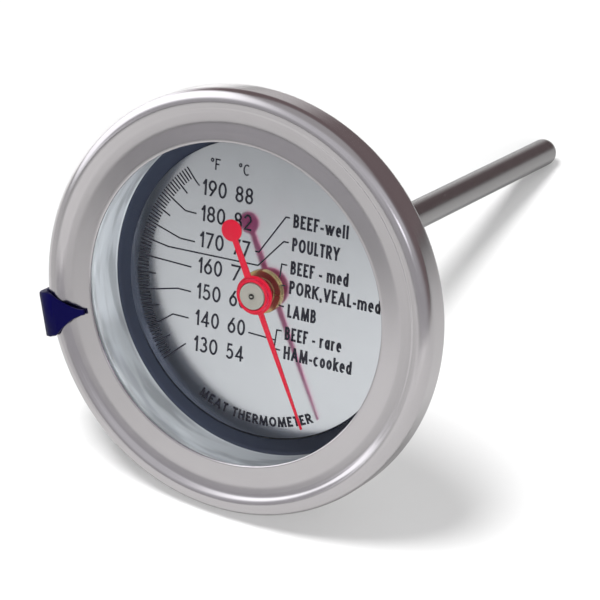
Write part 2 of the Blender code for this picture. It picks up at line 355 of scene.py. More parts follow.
def grain_along_stem(tree, point, fine=4.0, along=0.12):
    inputs = {"Vector": point, "Scale": (fine, fine, along)}
    return node(tree, "ShaderNodeMapping", inputs).outputs[0]


def grain_none(tree, point, fine=2.5):
    """Fine specks with no direction."""
    inputs = {"Vector": point, "Scale": (fine, fine, fine)}
    return node(tree, "ShaderNodeMapping", inputs).outputs[0]


def scratches(tree, point, angle):
    """Sparse hair-thin scratches in one direction, 1 in a scratch and 0 elsewhere."""
    inputs = {"Vector": point, "Rotation": (0.2, 0.1, math.radians(angle)), "Scale": (0.25, 7.0, 1.0)}
    vector = node(tree, "ShaderNodeMapping", inputs).outputs[0]
    return rise(tree, noise(tree, vector, 0.35, 2.0, 0.4), 0.70, 0.76)


def around(tree):
    """The direction that turning marks run in at the shaded point, in the world."""
    source = node(tree, "ShaderNodeTexCoord").outputs["Object"]
    inputs = {0: source, 1: DIAL.to_translation()}
    out = node(tree, "ShaderNodeVectorMath", inputs, operation="SUBTRACT").outputs[0]
    inputs = {0: DIAL.to_3x3() @ Vector((0, 0, 1)), 1: out}
    way = node(tree, "ShaderNodeVectorMath", inputs, operation="CROSS_PRODUCT").outputs[0]
    spaces = {"convert_from": "OBJECT", "convert_to": "WORLD"}
    return node(tree, "ShaderNodeVectorTransform", {0: way}, vector_type="VECTOR", **spaces).outputs[0]


def mottled(tree, fine, broad, amount, level):
    """A level that a fine and a broad pattern vary by this amount each."""
    varied = plus(tree, times(tree, fine, amount), times(tree, broad, amount))
    return plus(tree, varied, level - amount)


def raised(tree, height, distance, under=None):
    """A normal tilted by a height pattern this many millimetres deep, on top of another normal if given."""
    inputs = {"Height": height, "Strength": 1.0, "Distance": distance * MM}
    if under:
        inputs["Normal"] = under
    return node(tree, "ShaderNodeBump", inputs).outputs[0]


def finish(name, color, metallic, roughness, grain, bump, tint=0.10, vary=0.10, blotch=0.25, wear=0.0,
           coat=0.0, specular=0.5, turned=0.0, hairs=0.6, wave=0.0, recolor=None):
    """A material with grain, blotches, faint scratches and worn edges.

    tint and vary are what the patterns change in its colour and roughness. turned stretches its
    highlights round the dial's axis, wave adds a broad unevenness, and recolor paints over its colour.
    """
    mat = bpy.data.materials.new(name)
    mat.use_nodes = True
    tree = mat.node_tree
    shader = tree.nodes["Principled BSDF"]
    point = dial_point(tree)
    fine = noise(tree, grain(tree, point), 1.0, 4.0, 0.6)
    broad = noise(tree, point, blotch, 3.0)
    worn = rise(tree, node(tree, "ShaderNodeNewGeometry").outputs["Pointiness"], 0.515, 0.60)
    hair = calc(tree, "MAXIMUM", scratches(tree, point, 25), scratches(tree, point, 118))
    base = node(tree, "ShaderNodeRGB").outputs[0]
    base.default_value = (*color, 1)
    painted = recolor(tree, point, base) if recolor else base
    shade = plus(tree, mottled(tree, fine, broad, tint, 1.0), times(tree, worn, wear))
    rough = mottled(tree, fine, broad, vary, roughness)
    rough = plus(tree, rough, times(tree, hair, 0.08 * hairs))
    rough = calc(tree, "SUBTRACT", rough, times(tree, worn, wear * 0.4), clamp=True)
    normal = raised(tree, calc(tree, "SUBTRACT", fine, times(tree, hair, hairs)), bump)
    if wave:
        normal = raised(tree, noise(tree, point, 0.16, 1.0), wave, normal)
    inputs = {"Base Color": scaled(tree, painted, shade), "Roughness": rough, "Normal": normal}
    inputs.update({"Metallic": metallic, "Specular IOR Level": specular})
    inputs.update({"Coat Weight": coat, "Coat Roughness": 0.08})
    if turned:
        inputs.update({"Anisotropic": turned, "Tangent": around(tree)})
    fill(tree, shader, inputs)
    return mat


def dark_in_mirror(tree, point, color):
    """Bright when looked at; painted shade where a mirror such as the dial shows it.

    Painted reflections stand for what the wall reflects: broad clouds, a dark patch at the lower left,
    streaks round the wall, and a darker low part.
    """
    x, y, _ = parts_of(tree, point)
    painted_reflection = remap(tree, noise(tree, point, 0.075, 1.5), 0.40, 0.62, 0.90, 1.0)
    sideways = plus(tree, times(tree, x, -0.707), times(tree, y, -0.707))
    painted_dark_patch = remap(tree, plus(tree, sideways, noise(tree, point, 0.35, 2.0)), 25.0, 27.8, 1.0, 0.70)
    painted_streak = noise(tree, grain_round(tree, point, 0.5, 2.5), 1.0, 1.5)
    painted_streaks = remap(tree, painted_streak, 0.38, 0.60, 0.72, 1.06)
    low = remap(tree, y, -27.5, -19.0, 0.74, 1.0)
    for factor in (painted_dark_patch, painted_streaks, low):
        painted_reflection = times(tree, painted_reflection, factor)
    # Glossy rays see painted shade in place of the wall, and the camera sees the painted reflections
    return blend(tree, ray_is(tree, "Glossy"), scaled(tree, color, painted_reflection), WALL_IN_MIRROR)


def dial_margin(tree, point, color):
    """The dial's own colour, with a painted shadow line at its edge that fades out up the dial."""
    x, y, _ = parts_of(tree, point)
    # Painted shadow of the gap under the dial's edge: a thin ring at the edge, on the lower part only
    line = rise(tree, from_axis(tree, x, y), DIAL_R - 0.34, DIAL_R - 0.24)
    low = fall(tree, plus(tree, y, times(tree, x, -0.15)), -14.0, -5.0)
    return blend(tree, times(tree, line, low), color, EDGE_SHADOW)


def pink_in_mirror(tree, point, color):
    """Red paint with a painted reflection: mirror images such as the dial's show it paler and cooler."""
    return blend(tree, ray_is(tree, "Glossy"), color, RED_IN_MIRROR)


def slotted_end(tree, point, color):
    """Steel with painted shade, for a dark hole, on the shaft's front end, crossed by a light diamond."""
    turn = node_angle("pointer", True) + 75.0
    inputs = {"Vector": point, "Rotation": (0, 0, math.radians(-turn))}
    x, y, z = parts_of(tree, node(tree, "ShaderNodeMapping", inputs).outputs[0])
    front = rise(tree, z, -HUB_DEPTH - 0.4, -HUB_DEPTH - 0.3)
    reach = plus(tree, times(tree, calc(tree, "ABSOLUTE", x), 0.42), calc(tree, "ABSOLUTE", y))
    # Painted shade on the front end, outside the diamond
    return blend(tree, times(tree, front, rise(tree, reach, 0.13, 0.17)), color, HOLE_SHADE)


def glass_material():
    """Thin clear glass: light passes straight through, with a weak reflection that grows at a slant."""
    mat = bpy.data.materials.new("clear_glass")
    mat.use_nodes = True
    tree = mat.node_tree
    tree.nodes.remove(tree.nodes["Principled BSDF"])
    point = dial_point(tree)
    smear = noise(tree, point, 0.12, 2.0)
    clear = node(tree, "ShaderNodeBsdfTransparent", {"Color": (0.985, 0.99, 0.99, 1)})
    rough = remap(tree, smear, 0.4, 0.7, 0.02, 0.06)
    gloss = node(tree, "ShaderNodeBsdfGlossy", {"Color": (1, 1, 1, 1), "Roughness": rough})
    slant = node(tree, "ShaderNodeFresnel", {"IOR": 1.3}).outputs[0]
    share = times(tree, slant, 0.35)
    mixed = node(tree, "ShaderNodeMixShader", {0: share, 1: clear.outputs[0], 2: gloss.outputs[0]})
    fill(tree, tree.nodes["Material Output"], {"Surface": mixed.outputs[0]})
    return mat


# Each finish: name, colour, metallic share, roughness, grain, the grain's depth in mm, and the rest
FINISHES = {
    "bezel": ("satin_steel", (0.66, 0.635, 0.645), 1.0, 0.17, grain_round, 0.0014,
              {"tint": 0.06, "vary": 0.05, "turned": 0.4, "hairs": 0.15}),
    "rim_back": ("rim_steel", (0.58, 0.56, 0.56), 1.0, 0.24, grain_round, 0.003,
                 {"turned": 0.5, "hairs": 0.3}),
    "wall": ("bright_steel", (0.90, 0.94, 0.98), 0.25, 0.24, grain_round, 0.0006,
             {"tint": 0.05, "vary": 0.03, "blotch": 0.12, "wave": 0.2, "hairs": 0.0,
              "recolor": dark_in_mirror}),
    "floor": ("slate_steel", (0.031, 0.038, 0.062), 0.2, 0.5, grain_round, 0.002, {"specular": 0.2}),
    "back": ("drawn_steel", (0.60, 0.585, 0.58), 1.0, 0.25, grain_round, 0.003,
             {"turned": 0.5, "hairs": 0.4}),
    "stem": ("stem_steel", (0.385, 0.375, 0.375), 1.0, 0.22, grain_along_stem, 0.003, {"hairs": 0.4}),
    "dial": ("dial_metal", (0.835, 0.85, 0.885), 1.0, 0.17, grain_across, 0.0006,
             {"vary": 0.04, "tint": 0.07, "hairs": 0.0, "recolor": dial_margin}),
    "ink": ("dial_ink", (0.012, 0.012, 0.02), 0.0, 0.5, grain_none, 0.0006, {"specular": 0.25}),
    "brass": ("turned_brass", (0.70, 0.50, 0.22), 1.0, 0.24, grain_round, 0.004, {}),
    "washer": ("plated_washer", (0.38, 0.38, 0.30), 0.9, 0.42, grain_round, 0.004, {}),
    "hub": ("hub_steel", (0.34, 0.325, 0.29), 0.25, 0.5, grain_round, 0.004, {"specular": 0.3}),
    "shaft": ("shaft_steel", (0.34, 0.325, 0.29), 0.25, 0.5, grain_round, 0.004,
              {"specular": 0.3, "recolor": slotted_end}),
    "red": ("red_paint", (0.52, 0.004, 0.026), 0.0, 0.34, grain_none, 0.002,
            {"coat": 0.1, "specular": 0.3, "recolor": pink_in_mirror}),
    "navy": ("navy_plastic", (0.0008, 0.0004, 0.030), 0.0, 0.45, grain_none, 0.003,
             {"wear": 0.12, "specular": 0.10}),
    "rubber": ("seal_rubber", (0.02, 0.022, 0.03), 0.0, 0.6, grain_none, 0.004, {}),
    "seal": ("lens_seal", (0.30, 0.32, 0.36), 0.0, 0.6, grain_none, 0.004, {}),
    # Painted shade: a dim bluish colour for the bezel's inside and the flange, where shade falls
    "shade": ("rolled_inside", (0.27, 0.32, 0.43), 0.2, 0.6, grain_round, 0.003, {"specular": 0.2}),
    "bimetal": ("bimetal_strip", (0.55, 0.48, 0.38), 1.0, 0.34, grain_none, 0.003, {}),
}


def make_materials():
    made = {key: finish(*values, **rest) for key, (*values, rest) in FINISHES.items()}
    made["glass"] = glass_material()
    return made


# ---- bezel and case

# Radius and depth of points on the bezel's dished face, from the lip to the bead
FACE_POINTS = [
    (27.0, 0.008), (27.4, 0.025), (28.5, 0.078), (29.3, 0.116), (29.6, 0.128), (29.8, 0.128),
    (30.0, 0.118), (30.3, 0.088), (31.0, 0.008), (31.3, -0.033), (31.5, -0.078), (31.7, -0.152),
]


def bezel_profile():
    """Rolled sheet: a rounded lip, a dished face, a bead, a side and a curled edge."""
    half = SHEET / 2
    bead_at = (RIM_R - BEAD_R, BEAD_DEPTH)
    curl_at = (RIM_R - CURL_R, CURL_DEPTH)
    lip = arc((LIP_R + half, half), half, -180, 0, 10)
    bead = arc(bead_at, BEAD_R, -34, 90, 32)
    side = [(RIM_R, 2.3), (RIM_R, 3.4)]
    curl = arc(curl_at, CURL_R, 90, 180, 14)
    end = arc((32.4, CURL_DEPTH + CURL_R - half), half, 180, 360, 8)
    curl_back = arc(curl_at, CURL_R - SHEET, 180, 90, 12)
    bead_back = arc(bead_at, BEAD_R - SHEET, 90, -32, 16)
    face_back = [(31.3, 0.52), (30.6, 0.60), (29.6, 0.66)]
    return lip + FACE_POINTS + bead + side + curl + end + curl_back + bead_back + face_back


def cup_profile():
    """A drawn cup: flange, wall, rounded corner, and a floor with a raised boss at its centre."""
    outer = WALL_R + WALL
    corner = FLOOR_DEPTH - CORNER_R
    inside_r = WALL_R - CORNER_R
    outer_top = FLANGE_DEPTH + FLANGE_STEP
    flange_top = arc((WALL_R + FLANGE_ROUND, FLANGE_DEPTH + FLANGE_ROUND), FLANGE_ROUND, -90, 0, 8)
    step = [(GLASS_R + 0.1, FLANGE_DEPTH), (GLASS_R + 0.3, FLANGE_DEPTH + 0.1)]
    step += [(GLASS_R + 0.8, outer_top - 0.1), (GLASS_R + 1.0, outer_top)]
    flange_end = arc((FLANGE_R - WALL / 2, outer_top + WALL / 2), WALL / 2, 0, 180, 8)
    under = [(GLASS_R + 0.7, outer_top + WALL), (GLASS_R + 0.5, outer_top + WALL - 0.1)]
    under += [(GLASS_R, FLANGE_DEPTH + WALL + 0.1), (GLASS_R - 0.2, FLANGE_DEPTH + WALL)]
    neck = [(outer + 0.5, FLANGE_DEPTH + WALL), (outer + 0.15, FLANGE_DEPTH + WALL + 0.15)]
    neck += [(outer, FLANGE_DEPTH + WALL + 0.5)]
    outside = arc((inside_r, corner), CORNER_R + WALL, 90, 180, 12)
    hole = NECK_R + 0.3
    back = FLOOR_DEPTH + WALL
    boss_end = back + BOSS_STEP
    boss_back = [(20.0, back), (BOSS_R + 1.4, back), (BOSS_R, boss_end), (hole, boss_end)]
    boss_back = rounded(boss_back, 0.5, 6, False)
    front = FLOOR_DEPTH + BOSS_STEP
    boss_front = [(hole, front), (BOSS_R - 0.3, front), (BOSS_R + 1.1, FLOOR_DEPTH)]
    inside = arc((inside_r, corner), CORNER_R, 180, 90, 12)
    return flange_top + step + flange_end + under + neck + outside + boss_back + boss_front + inside


def cup_face(face):
    """Which cup material a face takes: bright wall, dark floor, drawn outside, or flange in painted shade."""
    wall, floor, outside, flange = range(4)
    middle = face.calc_center_median()
    radius = math.hypot(middle.x, middle.y)
    depth = -middle.z
    # The wall's material reaches over the round between wall and flange, but not to the cup's outside
    past_round = FLANGE_ROUND + 0.01
    wall_reach = past_round if depth < FLANGE_DEPTH + past_round else 0.3
    if radius < WALL_R + wall_reach and depth < FLOOR_DEPTH - CORNER_R * 0.45:
        return wall
    # The flange under the bezel takes the painted shade
    if radius < FLANGE_R - 0.3 and depth < FLANGE_DEPTH + FLANGE_STEP + 0.05 and face.normal.z > 0.3:
        return flange
    if depth <= FLOOR_DEPTH + 0.02 and radius < WALL_R:
        return floor
    return outside


def bezel_face(face):
    """Which bezel material a face takes: front, back, or the inside of the roll in painted shade."""
    front, back, inside = range(3)
    middle = face.calc_center_median()
    radius = math.hypot(middle.x, middle.y)
    depth = -middle.z
    within = LIP_R + 0.4 < radius < RIM_R - SHEET * 0.8
    # Inside the roll, faces take the painted shade
    if within and SHEET * 0.55 < depth < CURL_DEPTH + CURL_R - SHEET * 0.8:
        return inside if depth > 0.5 or face.normal.z < 0 else front
    return back if face.normal.z < -0.3 else front


def build_case(mats):
    bezel_mats = [mats["bezel"], mats["rim_back"], mats["shade"]]
    piece("bezel_body", lathe(bezel_profile()), "case", bezel_mats, ("bezel_ring",),
          pick=bezel_face)
    cup_mats = [mats["wall"], mats["floor"], mats["back"], mats["shade"]]
    piece("case_body", lathe(cup_profile()), "case", cup_mats, ("case_cup",), pick=cup_face)
    gasket = ring(27.2, 31.6, GASKET_DEPTH, GASKET_THICK, 0.15)
    piece("gasket_body", gasket, "case", [mats["seal"]], ("lens_gasket",))
    back = GLASS_DEPTH + GLASS_THICK
    corners = [(0, GLASS_DEPTH), (GLASS_R, GLASS_DEPTH), (GLASS_R, back), (0, back)]
    lens = lathe(rounded(corners, 0.3, 4, False), closed=False)
    piece("glass_body", lens, "case", [mats["glass"]], ("lens_glass",))


# ---- dial, hub stack and stem

def build_dial(mats):
    dial = ring(DIAL_HOLE_R, DIAL_R, DIAL_DEPTH, DIAL_THICK, 0.06)
    piece("dial_face", dial, "case", [mats["dial"]], ("dial_plate",))
    bore = NECK_R + 0.02
    brim_back = DIAL_DEPTH - 0.02
    back = NUT_DEPTH + NUT_THICK
    nut = [(bore, NUT_DEPTH), (2.3, NUT_DEPTH), (2.38, NUT_DEPTH + 0.08), (2.5, NUT_DEPTH)]
    nut += [(NUT_R, NUT_DEPTH), (NUT_R, brim_back), (NUT_BODY_R, brim_back), (NUT_BODY_R, back), (bore, back)]
    nut_mesh = lathe(rounded(nut, 0.1), SMALL_STEPS)
    piece("nut_body", nut_mesh, "case", [mats["brass"]], ("hub_nut",))


def bush_profile():
    """The bush: a neck through the case, a collar behind it, and a sleeve that holds the stem tube."""
    neck_front = NUT_DEPTH - 0.05
    shoulder = FLOOR_DEPTH + WALL + BOSS_STEP + 1.1 + 0.02
    seat_r, seat = STEM_R + 0.02, STEM_START - 0.3
    outer = [(NECK_BORE_R, neck_front), (NECK_R, neck_front), (NECK_R, shoulder), (5.5, shoulder)]
    outer += [(5.5, shoulder + 1.4), (4.3, shoulder + 2.4), (3.9, shoulder + 3.0), (3.9, 19.6), (3.5, 20.7)]
    return outer + [(seat_r, 20.7), (seat_r, seat), (NECK_BORE_R, seat)]


def build_stem(mats):
    plug, spigot_r = STEM_END - STEM_R, STEM_BORE_R - 0.1
    spigot, tube_end = plug - 2.6, plug - 0.02
    tube = [(STEM_BORE_R, STEM_START), (STEM_R, STEM_START), (STEM_R, tube_end), (STEM_BORE_R, tube_end)]
    tip = [(0, spigot), (spigot_r, spigot), (spigot_r, plug - 0.01), (STEM_R - 0.01, plug - 0.01)]
    tip += arc((0, plug), STEM_R, 90, 180, 24)[:-1] + [(0, STEM_END)]
    for name, bm, node_name in (
        ("bush_body", lathe(rounded(bush_profile(), 0.18), SMALL_STEPS), "stem_bush"),
        ("tube_body", lathe(rounded(tube, 0.03, 2), SMALL_STEPS), "stem_tube"),
        ("tip_body", lathe(tip, SMALL_STEPS, False), "stem_tip_plug"),
    ):
        piece(name, bm, "case", [mats["stem"]], (node_name,))


# ---- needle

def arm_half(radius):
    """Half the arm's width at this distance from the axis."""
    return 0.5 - 0.24 * radius / NEEDLE_REACH


def circle_part(center_x, radius, start, end, count):
    """Points on a circle about (center_x, 0), from one angle to another in radians."""
    points = []
    for i in range(count + 1):
        angle = start + (end - start) * i / count
        points.append((center_x + radius * math.cos(angle), radius * math.sin(angle)))
    return points


def blade_outline():
    """The blade from the front, pointing along +X: tapered arm, round disc and weighted tail."""
    tip = arm_half(NEEDLE_REACH) * 0.7
    arm = math.asin(arm_half(0) / BLADE_DISC_R)
    tail = math.asin(0.6 / BLADE_DISC_R)
    neck = math.asin(0.5 / TAIL_DISC_R)
    points = [(NEEDLE_REACH, -tip), (NEEDLE_REACH + 0.08, 0), (NEEDLE_REACH, tip)]
    points += circle_part(0, BLADE_DISC_R, arm, math.pi - tail, 40)
    points += circle_part(-TAIL_REACH, TAIL_DISC_R, neck, 2 * math.pi - neck, 56)
    points += circle_part(0, BLADE_DISC_R, math.pi + tail, 2 * math.pi - arm, 40)
    return points


def build_needle(mats):
    turn = node_angle("pointer", True)
    blade = plate(blade_outline(), BLADE_DEPTH, BLADE_THICK, 0.07)
    piece("needle_blade", blade, "needle", [mats["red"]], ("pointer",), turn)
    bore, back = COLLAR_BORE_R - 0.12, BLADE_DEPTH + 0.02
    collar = [(bore, COLLAR_DEPTH), (COLLAR_R, COLLAR_DEPTH), (COLLAR_R, back), (bore, back)]
    collar_mesh = lathe(rounded(collar, 0.12, 6), SMALL_STEPS)
    piece("needle_collar", collar_mesh, "needle", [mats["red"]], ("pointer",), turn)
    sunk, back = HUB_DEPTH + 0.03, BLADE_DEPTH - 0.01
    hub = [(0, sunk), (0.5, sunk), (0.56, HUB_DEPTH), (HUB_R, HUB_DEPTH), (HUB_R, back), (0, back)]
    hub_mesh = lathe(rounded(hub, 0.1, 5, False), SMALL_STEPS, False)
    piece("needle_hub", hub_mesh, "needle", [mats["hub"]], ("pointer_hub",), turn)


# ---- target marker

# Sections of the clip's thick part, from the rim's front round to the hook behind it: radius and depth
# of the outer side, radius and depth of the inner side, and half the width
CLIP_SECTIONS = [
    (34.9, -1.2, 33.9, -0.55, MARKER_HALF),
    (35.9, -0.6, 34.85, 0.1, MARKER_HALF),
    (MARKER_FACE, 0.3, MARKER_INSIDE, 0.9, MARKER_HALF),
    (MARKER_FACE, 3.2, MARKER_INSIDE, 3.2, MARKER_HALF),
    (MARKER_FACE, 6.0, MARKER_INSIDE, 5.0, MARKER_HALF),
    (36.2, 6.9, 34.9, 5.9, MARKER_HALF),
    (35.4, 7.4, 34.3, 6.3, MARKER_HALF),
    (32.7, 7.4, 32.7, 6.35, MARKER_HALF - 0.4),
]


def arrow_sections():
    """Sections of the clip's arrow, in the same form; it grows wider and thicker from its tip outwards."""
    sections = []
    for i in range(ARROW_STEPS + 1):
        t = i / ARROW_STEPS
        radius = MARKER_TIP_R + (ARROW_END_R - MARKER_TIP_R) * t
        half = 0.45 + 3.0 * t**1.7
        sections.append((radius, -0.62 - 0.83 * t, radius, -0.14 - 0.58 * min(1, t * 1.25), half))
    return sections


def build_marker(mats):
    """The clip, from eight-sided sections with softened corners."""
    bm = bmesh.new()
    loops = []
    for outer_r, outer_d, inner_r, inner_d, half in arrow_sections() + CLIP_SECTIONS:
        outer, inner = Vector((outer_r, -outer_d)), Vector((inner_r, -inner_d))
        across = (inner - outer) * min(0.45, MARKER_SOFT / (inner - outer).length)
        near, far = half - MARKER_SOFT, half
        section = [(outer, -near), (outer, near), (outer + across, far), (inner - across, far)]
        section += [(inner, near), (inner, -near), (inner - across, -far), (outer + across, -far)]
        loops.append([bm.verts.new((p.x, side, p.y)) for p, side in section])
    for near, far in zip(loops, loops[1:]):
        for k in range(8):
            bm.faces.new((near[k], near[(k + 1) % 8], far[(k + 1) % 8], far[k]))
    bm.faces.new(loops[0])
    bm.faces.new(loops[-1])
    turn = node_angle("target_marker", False) + MARKER_TRIM
    piece("marker_body", bm, "marker", [mats["navy"]], ("target_marker",), turn, 40)


# ---- dial print

def polar(radius, degrees):
    angle = math.radians(degrees)
    return Vector((radius * math.cos(angle), radius * math.sin(angle)))


def ribbon_sides(points, half, closed):
    """For each point of a stroke, the pair of points at its two sides."""
    last = len(points) - 1
    sides = []
    for i, point in enumerate(points):
        ways = []
        if i > 0 or closed:
            ways.append((point - points[i - 1]).normalized())
        if i < last or closed:
            ways.append((points[(i + 1) % len(points)] - point).normalized())
        way = sum(ways, Vector((0, 0))).normalized()
        side = Vector((-way.y, way.x))
        reach = half / max(0.6, side.dot(Vector((-ways[0].y, ways[0].x))))
        sides.append([point + side * reach, point - side * reach])
    return sides


def trim_end(pair, outward, trim):
    """Moves the two sides of a stroke's end to a level line, or outwards by a length."""
    outward.normalize()
    kind, amount = trim
    for k in (0, 1):
        step = (amount - pair[k].y) / outward.y if kind == "level" else amount
        pair[k] += outward * step


def ribbon(bm, points, half, closed=False, trims=(None, None), bend=None):
    """A printed stroke of constant width.

    A trim is ("level", y) or ("reach", length) for an end of the stroke. bend moves each point last.
    """
    points = [Vector(p) for p in points]
    sides = ribbon_sides(points, half, closed)
    if trims[0] and not closed:
        trim_end(sides[0], points[0] - points[1], trims[0])
    if trims[1] and not closed:
        trim_end(sides[-1], points[-1] - points[-2], trims[1])
    if bend:
        sides = [[bend(p) for p in pair] for pair in sides]
    high, low = -(DIAL_DEPTH - PRINT_HIGH), -(DIAL_DEPTH + PRINT_SINK)
    rows = []
    for a, b in sides:
        corners = [(a.x, a.y, high), (b.x, b.y, high), (b.x, b.y, low), (a.x, a.y, low)]
        rows.append([bm.verts.new(corner) for corner in corners])
    pairs = list(zip(rows, rows[1:]))
    if closed:
        pairs.append((rows[-1], rows[0]))
    else:
        bm.faces.new(rows[0])
        bm.faces.new(rows[-1][::-1])
    for near, far in pairs:
        for k in range(4):
            bm.faces.new((near[k], near[(k + 1) % 4], far[(k + 1) % 4], far[k]))


# Each character's width against the cap height, and its strokes in a unit box. In a stroke, a pair is
# a point and six numbers are an arc: centre, radii, start and end in degrees.
X_HIGH = 0.68
ROUND = [(0.5, 0.5, 0.5, 0.5, 90, 450)]
SMALL_ROUND = [(0.5, X_HIGH / 2, 0.5, X_HIGH / 2, 90, 450)]
STEM = [(0, 0), (0, 1)]
P_BOWL = [(0, 1), (0.5, 1), (0.5, 0.74, 0.5, 0.26, 90, -90), (0, 0.48)]
GLYPHS = {
    "0": (0.50, [ROUND]),
    "1": (0.24, [[(1, 0), (1, 1)], [(0, 0.76), (0.9, 0.99)]]),
    "2": (0.47, [[(0.5, 0.71, 0.5, 0.29, 170, -30), (0.02, 0), (1, 0)]]),
    "3": (0.47, [[(0.46, 0.76, 0.42, 0.24, 150, -90), (0.46, 0.26, 0.54, 0.26, 90, -150)]]),
    "4": (0.54, [[(0.74, 0.94), (0.02, 0.24), (1, 0.24)], [(0.74, 0), (0.74, 1)]]),
    "5": (0.47, [[(0.92, 1), (0.2, 1), (0.08, 0.53), (0.45, 0.315, 0.55, 0.315, 118, -150)]]),
    "6": (0.50, [[(0.5, 0.32, 0.5, 0.32, 90, 450)], [(0.72, 1), (0.05, 0.42)]]),
    "7": (0.47, [[(0, 1), (1, 1), (0.3, 0)]]),
    "8": (0.49, [[(0.5, 0.755, 0.43, 0.245, 90, 450)], [(0.5, 0.26, 0.5, 0.26, 90, 450)]]),
    "9": (0.50, [[(0.5, 0.68, 0.5, 0.32, 90, 450)], [(0.28, 0), (0.95, 0.58)]]),
    "A": (0.58, [[(0, 0), (0.5, 1)], [(1, 0), (0.5, 1)], [(0.2, 0.27), (0.8, 0.27)]]),
    "B": (0.46, [STEM, [(0, 1), (0.42, 1), (0.42, 0.76, 0.46, 0.24, 90, -90), (0, 0.52)],
                 [(0, 0.52), (0.48, 0.52), (0.48, 0.26, 0.52, 0.26, 90, -90), (0, 0)]]),
    "C": (0.52, [[(0.56, 0.5, 0.56, 0.5, 52, 308)]]),
    "E": (0.42, [STEM, [(0, 1), (1, 1)], [(0, 0.51), (0.9, 0.51)], [(0, 0), (1, 0)]]),
    "F": (0.41, [STEM, [(0, 1), (1, 1)], [(0, 0.51), (0.9, 0.51)]]),
    "H": (0.52, [STEM, [(1, 0), (1, 1)], [(0, 0.51), (1, 0.51)]]),
    "K": (0.52, [STEM, [(0.95, 1), (0.06, 0.44)], [(0.3, 0.6), (1, 0)]]),
    "L": (0.36, [STEM, [(0, 0), (1, 0)]]),
    "M": (0.70, [[(0, 0), (0.1, 1)], [(0.1, 1), (0.5, 0)], [(0.9, 1), (0.5, 0)], [(1, 0), (0.9, 1)]]),
    "O": (0.60, [ROUND]),
    "P": (0.44, [STEM, P_BOWL]),
    "R": (0.48, [STEM, P_BOWL, [(0.42, 0.48), (1, 0)]]),
    "T": (0.42, [[(0, 1), (1, 1)], [(0.5, 0), (0.5, 1)]]),
    "U": (0.50, [[(0, 1), (0.5, 0.36, 0.5, 0.36, 180, 360), (1, 1)]]),
    "V": (0.56, [[(0, 1), (0.5, 0)], [(1, 1), (0.5, 0)]]),
    "Y": (0.54, [[(0, 1), (0.5, 0.42)], [(1, 1), (0.5, 0.42)], [(0.5, 0), (0.5, 0.46)]]),
    "a": (0.43, [SMALL_ROUND, [(1, 0), (1, X_HIGH)]]),
    "c": (0.42, [[(0.56, 0.34, 0.56, 0.34, 48, 312)]]),
    "d": (0.44, [SMALL_ROUND, [(1, 0), (1, 1)]]),
    "e": (0.43, [[(0.04, 0.36), (1, 0.36), (0.5, 0.34, 0.5, 0.34, 8, 312)]]),
    "k": (0.42, [STEM, [(0.9, X_HIGH), (0.05, 0.3)], [(0.3, 0.42), (1, 0)]]),
    "l": (0.0, [[(0.5, 0), (0.5, 1)]]),
    "m": (0.74, [[(0, 0), (0, X_HIGH)], [(0.25, 0.44, 0.25, 0.24, 180, 0), (0.5, 0)],
                 [(0.75, 0.44, 0.25, 0.24, 180, 0), (1, 0)]]),
    "o": (0.44, [SMALL_ROUND]),
    "r": (0.36, [[(0, 0), (0, X_HIGH)], [(0.62, 0.36, 0.62, 0.32, 180, 52)]]),
    "w": (0.74, [[(0, X_HIGH), (0.27, 0)], [(0.5, X_HIGH), (0.27, 0)], [(0.5, X_HIGH), (0.73, 0)],
                 [(1, X_HIGH), (0.73, 0)]]),
    "-": (0.26, [[(0, 0.33), (1, 0.33)]]),
    ",": (0.14, [[(0.9, 0.12), (0.1, -0.26)]]),
    "°": (0.28, [[(0.5, 0.86, 0.5, 0.14, 90, 450)]]),
    " ": (0.10, []),
}


def stroke_points(stroke):
    """The stroke's points, with each arc cut into steps of about 15 degrees."""
    points = []
    for item in stroke:
        if len(item) == 2:
            points.append(item)
            continue
        center_x, center_y, wide, tall, start, end = item
        count = max(3, round(abs(end - start) / 15))
        for i in range(count + 1):
            angle = math.radians(start + (end - start) * i / count)
            points.append((center_x + wide * math.cos(angle), center_y + tall * math.sin(angle)))
    return points


def is_loop(stroke):
    return len(stroke) == 1 and len(stroke[0]) == 6 and stroke[0][5] - stroke[0][4] == 360


def end_trim(end, before, half, level):
    """How a stroke's end is cut.

    It ends level on a line of writing, half a width further at the glyph's side, or is left as it is.
    """
    slope = abs(end[1] - before[1]) > 0.3 * abs(end[0] - before[0])
    if end[1] in (0, X_HIGH, 1) and slope:
        return ("level", level(end[1]) + (half if end[1] else -half))
    if end[0] in (0, 1) and not slope:
        return ("reach", half)
    return None


def write(bm, text, left, right, base, cap, weight, bend=None):
    """Prints text in strokes of this weight, from left to right, with this base line and cap height."""
    half = weight / 2
    widths = [max(GLYPHS[c][0] * cap, weight) for c in text]
    stretch = (right - left) / (sum(widths) + LETTER_GAP * cap * (len(text) - 1))
    start = left

    def level(v):
        return base + half + v * (cap - weight)

    for char, width in zip(text, widths):
        wide = max(width * stretch, weight)
        for stroke in GLYPHS[char][1]:
            points = stroke_points(stroke)
            placed = [(start + half + u * (wide - weight), level(v)) for u, v in points]
            first = end_trim(points[0], points[1], half, level)
            last = end_trim(points[-1], points[-2], half, level)
            closed = is_loop(stroke)
            if closed:
                placed.pop()
            ribbon(bm, placed, half, closed, (first, last), bend)
        start += width * stretch + LETTER_GAP * cap * stretch


def degree_angle(fahrenheit):
    """Where a mark of the scale points, in degrees."""
    return DEGREE_130 + (DEGREE_190 - DEGREE_130) * (fahrenheit - 130) / 60


